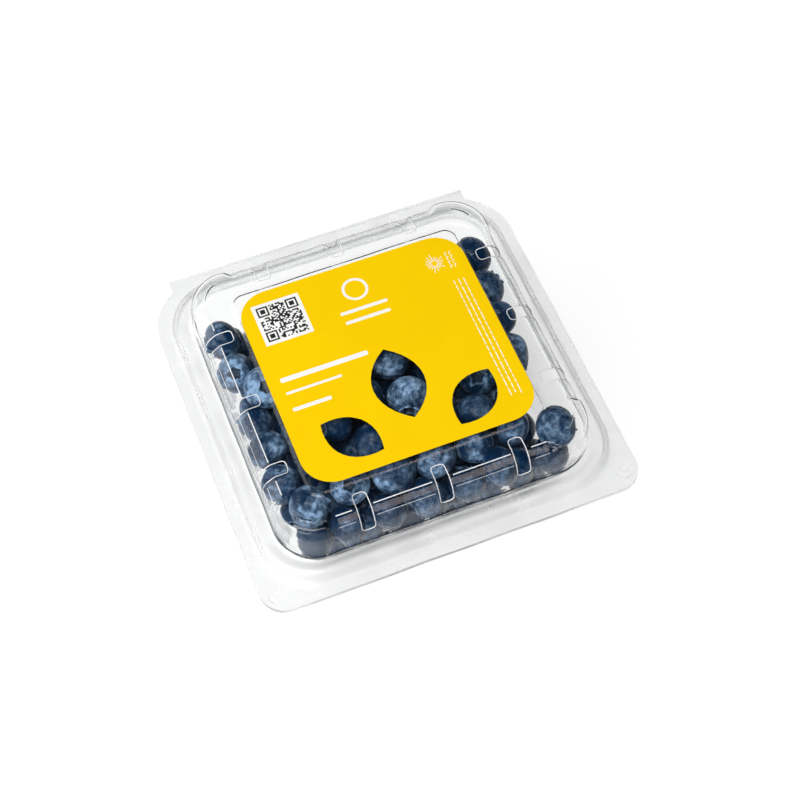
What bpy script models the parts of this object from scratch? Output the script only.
"""A clear clamshell punnet of blueberries: a shallow tray, a vented lid hinged along its back edge,
a die-cut label on the lid and the heap of fruit inside.

Metres, +Z up. The origin is under the middle of the tray, on the surface it stands on. The front,
with its two snap tabs, faces -Y, and the hinge runs along X at the back.
"""
import math

import bmesh
import bpy

MM = 0.001

# Sheet
WALL = 0.45 * MM
NEST_GAP = 0.35 * MM

# Plan sizes, as half widths from the middle
FLANGE_HALF_X = 61.0 * MM
FLANGE_FRONT_Y = -61.6 * MM
FLANGE_BACK_Y = 60.4 * MM
TAB_RADIUS = 8.0 * MM
BACK_RADIUS = 18.0 * MM
HINGE_HALF_X = 51.5 * MM
HINGE_EDGE_Y = 62.3 * MM

# Heights
LID_FLANGE_Z = 24.0 * MM
PANEL_Z = 41.3 * MM

# Lid sides: the middle of each side is cut back into a sloping shoulder that the vents cross
SHOULDER_HALF_LENGTH = 33.5 * MM
SHOULDER_END = 3.0 * MM
VENT_PITCH = 24.8 * MM
VENT_WIDTH = 4.3 * MM
VENT_INNER = 41.0 * MM
VENT_OUTER = 54.0 * MM
VENT_BOTTOM_Z = 33.5 * MM

# Snap buttons on the front tabs
SNAP_X = 56.2 * MM
SNAP_Y = -55.8 * MM
SNAP_RADIUS = 2.4 * MM
SNAP_HEIGHT = 1.1 * MM

# Hinge crease
CREASE_Y = 62.9 * MM
CREASE_RADIUS = 0.25 * MM

# Label
LABEL_HALF_X = 37.2 * MM
LABEL_HALF_Y = 36.0 * MM
LABEL_RADIUS = 10.0 * MM
LABEL_THICKNESS = 0.15 * MM
LABEL_LIFT = 0.3 * MM

# Heap of fruit
BERRY_PITCH = 14.6 * MM
BERRY_BUMP = 2.4 * MM
HEAP_GAP = 0.6 * MM
HEAP_HIGH_Z = 36.4 * MM
HEAP_BACK_DROP = 15.5 * MM
HEAP_HOLLOW_DROP = 16.0 * MM
HEAP_TOP_RINGS = 11

CORNER_STEPS = 6
HEAP_CORNER_STEPS = 9
# Places along each side of a ring, which bound the cut-back shoulder
SIDE_PLACES = (
    -SHOULDER_HALF_LENGTH - SHOULDER_END,
    -SHOULDER_HALF_LENGTH,
    0.0,
    SHOULDER_HALF_LENGTH,
    SHOULDER_HALF_LENGTH + SHOULDER_END,
)
# A small panel has shorter sides, so its places are drawn in by this much from its corner
SIDE_END_MARGIN = 0.6 * MM

# Lid sheet from the label panel outwards: half width, corner radius, height, and for the
# cut-back middle of each side its own half width and height
LID_RINGS_MM = (
    (37.4, 3.6, 41.3, 37.4, 41.3),
    (38.4, 4.6, 40.4, 38.4, 40.4),
    (48.0, 10.6, 40.4, 45.8, 40.4),
    (49.2, 11.4, 39.5, 48.7, 38.1),
    (49.9, 12.0, 37.4, 50.1, 35.0),
    (50.6, 12.6, 28.2, 50.6, 28.2),
    (51.8, 13.4, 27.4, 51.8, 27.4),
    (53.2, 14.6, 28.0, 53.2, 28.0),
    (55.0, 16.0, 28.0, 55.0, 28.0),
    (56.4, 17.0, 27.0, 56.4, 27.0),
    (57.0, 17.4, 24.5, 57.0, 24.5),
    (57.7, 18.0, 24.0, 57.7, 24.0),
)

# Tray sheet from the floor outwards: half width, corner radius, height. Its rim nests under the lid's
TRAY_RINGS_MM = (
    (38.5, 9.0, 0.45),
    (41.0, 10.5, 1.4),
    (42.2, 11.2, 3.6),
    (49.4, 11.8, 26.0),
    (50.4, 12.6, 26.6),
    (52.0, 13.6, 26.6),
    (53.3, 14.6, 27.15),
    (54.8, 15.9, 27.15),
    (55.5, 16.4, 26.6),
    (56.1, 16.8, 24.1),
    (56.9, 17.4, 23.2),
)
TRAY_FLANGE_Z = LID_FLANGE_Z - WALL - NEST_GAP
TRAY_WALL_FOOT = (42.2 * MM, 3.6 * MM)
TRAY_WALL_TOP = (49.4 * MM, 26.0 * MM)

# Leaf windows in the label: middle x, middle y, turn in degrees, half length, half width
LEAF_WINDOWS = (
    (0.0 * MM, -11.0 * MM, 90.0, 13.0 * MM, 8.2 * MM),
    (-19.8 * MM, -23.4 * MM, -45.0, 10.4 * MM, 6.6 * MM),
    (19.6 * MM, -23.9 * MM, 45.0, 10.7 * MM, 6.6 * MM),
)
# Handle length of a quarter circle drawn as a Bezier curve
QUARTER_HANDLE = 0.5523


def new_material(name, color, roughness, alpha=1.0, transmission=0.0):
    """One Principled material in the sub-part's own colour."""
    material = bpy.data.materials.new(name)
    material.use_nodes = True
    shader = material.node_tree.nodes["Principled BSDF"]
    shader.inputs["Base Color"].default_value = (*color, 1.0)
    shader.inputs["Roughness"].default_value = roughness
    shader.inputs["Alpha"].default_value = alpha
    shader.inputs["Transmission Weight"].default_value = transmission
    material.diffuse_color = (*color, alpha)
    return material


def new_collection(name):
    collection = bpy.data.collections.new(name)
    bpy.context.scene.collection.children.link(collection)
    return collection


def new_mesh_object(name, bm, collection, material=None):
    """Turn a bmesh into a named object."""
    mesh = bpy.data.meshes.new(name)
    bm.to_mesh(mesh)
    bm.free()
    if material:
        mesh.materials.append(material)
    obj = bpy.data.objects.new(name, mesh)
    collection.objects.link(obj)
    return obj


def smooth(value):
    """Ease from 0 to 1 as value goes from 0 to 1."""
    value = min(max(value, 0.0), 1.0)
    return value * value * (3.0 - 2.0 * value)


def rounded_ring(half, radius, z, side_half=None, side_z=None, corner_steps=CORNER_STEPS):
    """Points round a rounded square, counter-clockwise, with the cut-back middle of each side."""
    side_half = half if side_half is None else side_half
    side_z = z if side_z is None else side_z
    straight = half - radius
    shrink = min(1.0, (straight - SIDE_END_MARGIN) / SIDE_PLACES[-1])
    points = []
    for quarter in range(4):
        turn = quarter * math.pi / 2
        cos_turn = math.cos(turn)
        sin_turn = math.sin(turn)
        for place in SIDE_PLACES:
            in_middle = abs(place) <= SHOULDER_HALF_LENGTH + 1e-9
            out = side_half if in_middle else half
            level = side_z if in_middle else z
            along = place * shrink
            points.append((out * cos_turn - along * sin_turn, out * sin_turn + along * cos_turn, level))
        for step in range(corner_steps + 1):
            angle = turn + step / corner_steps * math.pi / 2
            centre_x = straight * (cos_turn - sin_turn)
            centre_y = straight * (sin_turn + cos_turn)
            points.append((centre_x + radius * math.cos(angle), centre_y + radius * math.sin(angle), z))
    return points


def flange_edge_point(quarter, angle):
    """A point of the flange's outline on one of its corners, with square tabs at the front only."""
    side_x = 1.0 if quarter in (0, 3) else -1.0
    if quarter in (2, 3):
        centre_x = side_x * (FLANGE_HALF_X - TAB_RADIUS)
        centre_y = FLANGE_FRONT_Y + TAB_RADIUS
        return centre_x + TAB_RADIUS * math.cos(angle), centre_y + TAB_RADIUS * math.sin(angle)
    centre_x = side_x * (FLANGE_HALF_X - BACK_RADIUS)
    centre_y = FLANGE_BACK_Y - BACK_RADIUS
    return centre_x + BACK_RADIUS * math.cos(angle), centre_y + BACK_RADIUS * math.sin(angle)


def flange_outline(z):
    """The flange's outer edge, matching rounded_ring point for point, with the hinge strip at the back."""
    strip_angle = math.acos((HINGE_HALF_X - FLANGE_HALF_X + BACK_RADIUS) / BACK_RADIUS)
    points = []
    for quarter in range(4):
        turn = quarter * math.pi / 2
        for place in SIDE_PLACES:
            side_x, side_y = (
                (FLANGE_HALF_X, place),
                (-place, HINGE_EDGE_Y),
                (-FLANGE_HALF_X, -place),
                (place, FLANGE_FRONT_Y),
            )[quarter]
            points.append((side_x, side_y, z))
        for step in range(CORNER_STEPS + 1):
            from_side = step / CORNER_STEPS * math.pi / 2
            if quarter in (2, 3):
                points.append((*flange_edge_point(quarter, turn + from_side), z))
                continue
            # At the back the arc stops where the hinge strip begins, and the strip's end follows
            rise = from_side if quarter == 0 else math.pi / 2 - from_side
            rank = round(rise / (math.pi / 2) * CORNER_STEPS)
            last_on_arc = int(strip_angle / (math.pi / 2) * CORNER_STEPS)
            side_x = 1.0 if quarter == 0 else -1.0
            if rank <= last_on_arc:
                rise = strip_angle if rank == last_on_arc else rise
                angle = rise if quarter == 0 else math.pi - rise
                points.append((*flange_edge_point(quarter, angle), z))
            elif rank == last_on_arc + 1:
                points.append((side_x * HINGE_HALF_X, HINGE_EDGE_Y, z))
            else:
                straight_x = FLANGE_HALF_X - BACK_RADIUS
                share = (CORNER_STEPS - rank) / (CORNER_STEPS - last_on_arc - 1)
                strip_x = straight_x + share * (HINGE_HALF_X - straight_x)
                points.append((side_x * strip_x, HINGE_EDGE_Y, z))
    return points


def loft(rings, close_start=True, close_end=False):
    """Skin rings of equal length with quads, from the inner one outwards."""
    bm = bmesh.new()
    rows = [[bm.verts.new(point) for point in ring] for ring in rings]
    for inner, outer in zip(rows, rows[1:]):
        for index in range(len(inner)):
            following = (index + 1) % len(inner)
            bm.faces.new((inner[index], outer[index], outer[following], inner[following]))
    if close_start:
        bm.faces.new(rows[0])
    if close_end:
        bm.faces.new(reversed(rows[-1]))
    bm.normal_update()
    return bm


def add_solidify(obj):
    """Give an open sheet its thickness, on the side away from its normals."""
    modifier = obj.modifiers.new("sheet", "SOLIDIFY")
    modifier.thickness = WALL
    modifier.offset = -1.0
    modifier.use_even_offset = True


def add_boolean(obj, cutter, operation):
    modifier = obj.modifiers.new(cutter.name, "BOOLEAN")
    modifier.operation = operation
    modifier.solver = "EXACT"
    modifier.object = cutter
    cutter.hide_render = True
    cutter.display_type = "WIRE"


def vent_cutter(collection):
    """Three boxes across the shoulder of each side, as one cutting mesh."""
    bm = bmesh.new()
    length = VENT_OUTER - VENT_INNER
    height = PANEL_Z + 2 * MM - VENT_BOTTOM_Z
    for quarter in range(4):
        turn = quarter * math.pi / 2
        for slot in (-1, 0, 1):
            box = bmesh.ops.create_cube(bm, size=1.0)["verts"]
            bmesh.ops.scale(bm, verts=box, vec=(length, VENT_WIDTH, height))
            centre = ((VENT_INNER + VENT_OUTER) / 2, slot * VENT_PITCH, VENT_BOTTOM_Z + height / 2)
            bmesh.ops.translate(bm, verts=box, vec=centre)
            for vert in box:
                x, y, z = vert.co
                turned_x = x * math.cos(turn) - y * math.sin(turn)
                turned_y = x * math.sin(turn) + y * math.cos(turn)
                vert.co = (turned_x, turned_y, z)
    return new_mesh_object("vent_cutter", bm, collection)


def snap_buttons(collection):
    """A low round button on each front tab, as one mesh joined to the lid."""
    bm = bmesh.new()
    for side in (-1, 1):
        ball = bmesh.ops.create_uvsphere(bm, u_segments=12, v_segments=6, radius=SNAP_RADIUS)["verts"]
        bmesh.ops.scale(bm, verts=ball, vec=(1.0, 1.0, SNAP_HEIGHT / SNAP_RADIUS))
        bmesh.ops.translate(bm, verts=ball, vec=(side * SNAP_X, SNAP_Y, LID_FLANGE_Z))
        under = [vert for vert in ball if vert.co.z < LID_FLANGE_Z]
        for vert in under:
            vert.co.z = LID_FLANGE_Z - WALL / 2
    return new_mesh_object("snap_button_form", bm, collection)


def make_tray(collection, material):
    """The tray: a floor, drafted walls and a rim that nests under the lid's rim."""
    rings = [rounded_ring(half * MM, radius * MM, z * MM) for half, radius, z in TRAY_RINGS_MM]
    rings.append(flange_outline(TRAY_FLANGE_Z))
    tray = new_mesh_object("tray", loft(rings), collection, material)
    add_solidify(tray)
    return tray


def make_lid(collection, tools, material):
    """The lid: a raised label panel, a flat margin, vented shoulders, steep walls, rim and flange."""
    rings = []
    for half, radius, z, side_half, side_z in LID_RINGS_MM:
        rings.append(rounded_ring(half * MM, radius * MM, z * MM, side_half * MM, side_z * MM))
    rings.append(flange_outline(LID_FLANGE_Z))
    lid = new_mesh_object("lid", loft(rings), collection, material)
    add_solidify(lid)
    add_boolean(lid, vent_cutter(tools), "DIFFERENCE")
    add_boolean(lid, snap_buttons(tools), "UNION")
    return lid


def make_crease(collection, material):
    """The hinge crease: a thin rod along the joint's axis, between the two flange edges."""
    bm = bmesh.new()
    bmesh.ops.create_cone(
        bm,
        cap_ends=True,
        segments=8,
        radius1=CREASE_RADIUS,
        radius2=CREASE_RADIUS,
        depth=2 * HINGE_HALF_X,
    )
    crease = new_mesh_object("hinge_crease", bm, collection, material)
    crease.rotation_euler = (0.0, math.pi / 2, 0.0)
    crease.location = (0.0, CREASE_Y, (LID_FLANGE_Z - WALL + TRAY_FLANGE_Z) / 2)
    return crease


def add_bezier_outline(curve, knots):
    """Add one closed outline: each knot is its point and the handles before and after it."""
    spline = curve.splines.new("BEZIER")
    spline.bezier_points.add(len(knots) - 1)
    for bezier_point, (point, before, after) in zip(spline.bezier_points, knots):
        bezier_point.handle_left_type = "FREE"
        bezier_point.handle_right_type = "FREE"
        bezier_point.co = (*point, 0.0)
        bezier_point.handle_left = (*before, 0.0)
        bezier_point.handle_right = (*after, 0.0)
    spline.use_cyclic_u = True


def rounded_rectangle_knots(half_x, half_y, radius):
    """Bezier knots of a rounded rectangle, counter-clockwise."""
    reach = radius * QUARTER_HANDLE
    knots = []
    for sign_x, sign_y in ((1, -1), (1, 1), (-1, 1), (-1, -1)):
        across = (sign_x * (half_x - radius), sign_y * half_y)
        upright = (sign_x * half_x, sign_y * (half_y - radius))
        across_handle = (across[0] + sign_x * reach, across[1])
        upright_handle = (upright[0], upright[1] + sign_y * reach)
        across_knot = (across, across, across_handle)
        upright_knot = (upright, upright_handle, upright)
        if sign_x * sign_y > 0:
            across_knot = (across, across_handle, across)
            upright_knot = (upright, upright, upright_handle)
            knots += [upright_knot, across_knot]
        else:
            knots += [across_knot, upright_knot]
    return knots


def leaf_knots(centre_x, centre_y, turn_degrees, half_length, half_width):
    """Bezier knots of a pointed leaf: two tips, with a bulging side between them each way."""
    turn = math.radians(turn_degrees)
    bulge = half_width * 4.0 / 3.0
    pull = half_length * 0.45

    def placed(along, across):
        x = centre_x + along * math.cos(turn) - across * math.sin(turn)
        y = centre_y + along * math.sin(turn) + across * math.cos(turn)
        return x, y

    first_tip = (placed(-half_length, 0.0), placed(-pull, bulge), placed(-pull, -bulge))
    second_tip = (placed(half_length, 0.0), placed(pull, -bulge), placed(pull, bulge))
    return [first_tip, second_tip]


def make_label(collection, material):
    """The label: a rounded sheet with three leaf windows, on the lid's raised panel."""
    curve = bpy.data.curves.new("label", "CURVE")
    curve.dimensions = "2D"
    curve.fill_mode = "BOTH"
    curve.resolution_u = 6
    curve.extrude = LABEL_THICKNESS / 2
    add_bezier_outline(curve, rounded_rectangle_knots(LABEL_HALF_X, LABEL_HALF_Y, LABEL_RADIUS))
    for window in LEAF_WINDOWS:
        add_bezier_outline(curve, leaf_knots(*window))
    curve.materials.append(material)
    label = bpy.data.objects.new("label", curve)
    label.location = (0.0, 0.0, PANEL_Z + LABEL_LIFT + LABEL_THICKNESS / 2)
    collection.objects.link(label)
    return label


def heap_half(z):
    """How far out the heap reaches at a height, just clear of the tray's drafted wall."""
    foot_half, foot_z = TRAY_WALL_FOOT
    top_half, top_z = TRAY_WALL_TOP
    share = min(max((z - foot_z) / (top_z - foot_z), 0.0), 1.0)
    return foot_half + share * (top_half - foot_half) - HEAP_GAP


def heap_level(x, y):
    """Height of the heap's top: high at the front, sunk at the back and in a hollow by the right wall."""
    back = smooth((y - 6 * MM) / (40 * MM))
    hollow = smooth((x - 30 * MM) / (17 * MM))
    hollow *= smooth((y + 38 * MM) / (12 * MM))
    hollow *= 1 - smooth((y + 14 * MM) / (18 * MM))
    level = HEAP_HIGH_Z - HEAP_BACK_DROP * back - HEAP_HOLLOW_DROP * hollow
    row = y / (BERRY_PITCH * math.sqrt(3) / 2)
    wave_x = math.cos(2 * math.pi * (x / BERRY_PITCH + 0.5 * math.cos(math.pi * row)))
    wave_y = math.cos(math.pi * row)
    return level + BERRY_BUMP / 2 * (wave_x * wave_y - 0.5 * wave_y)


def make_berries(collection, material):
    """The heap as one solid: it fills the tray out to its wall and ends in an uneven top."""
    rings = []
    floor_z = WALL + HEAP_GAP
    rings.append(rounded_ring(38.5 * MM - HEAP_GAP, 9.0 * MM, floor_z, corner_steps=HEAP_CORNER_STEPS))
    rings.append(rounded_ring(41.0 * MM - HEAP_GAP, 10.5 * MM, 1.4 * MM + HEAP_GAP,
                              corner_steps=HEAP_CORNER_STEPS))
    foot_half, foot_z = TRAY_WALL_FOOT
    foot = rounded_ring(heap_half(foot_z), 11.2 * MM, foot_z + 0.3 * MM, corner_steps=HEAP_CORNER_STEPS)
    rings.append(foot)
    shoulder = 3.0 * MM
    edge_levels = [heap_level(x * 1.1, y * 1.1) - shoulder for x, y, _ in foot]
    for share in (0.5, 1.0):
        ring = []
        for (x, y, z), edge in zip(foot, edge_levels):
            level = z + share * (edge - z)
            scale = heap_half(level) / foot_half
            ring.append((x * scale, y * scale, level))
        rings.append(ring)
    outer = rings[-1]
    for step in range(HEAP_TOP_RINGS):
        scale = 0.94 * (1 - step / HEAP_TOP_RINGS)
        rings.append([(x * scale, y * scale, heap_level(x * scale, y * scale)) for x, y, _ in outer])
    heap = loft(rings[::-1], close_start=True, close_end=True)
    return new_mesh_object("berries", heap, collection, material)


def main():
    for obj in list(bpy.data.objects):
        bpy.data.objects.remove(obj, do_unlink=True)
    parts = new_collection("blueberry_punnet")
    tools = new_collection("cutters")
    clear = (0.93, 0.95, 0.95)
    make_tray(parts, new_material("tray_clear_sheet", clear, 0.06, alpha=0.3, transmission=0.9))
    make_lid(parts, tools, new_material("lid_clear_sheet", clear, 0.06, alpha=0.3, transmission=0.9))
    make_crease(parts, new_material("crease_clear_sheet", clear, 0.1, alpha=0.4, transmission=0.8))
    make_label(parts, new_material("label_yellow", (0.98, 0.66, 0.003), 0.35))
    make_berries(parts, new_material("berry_skin", (0.035, 0.05, 0.11), 0.5))


main()
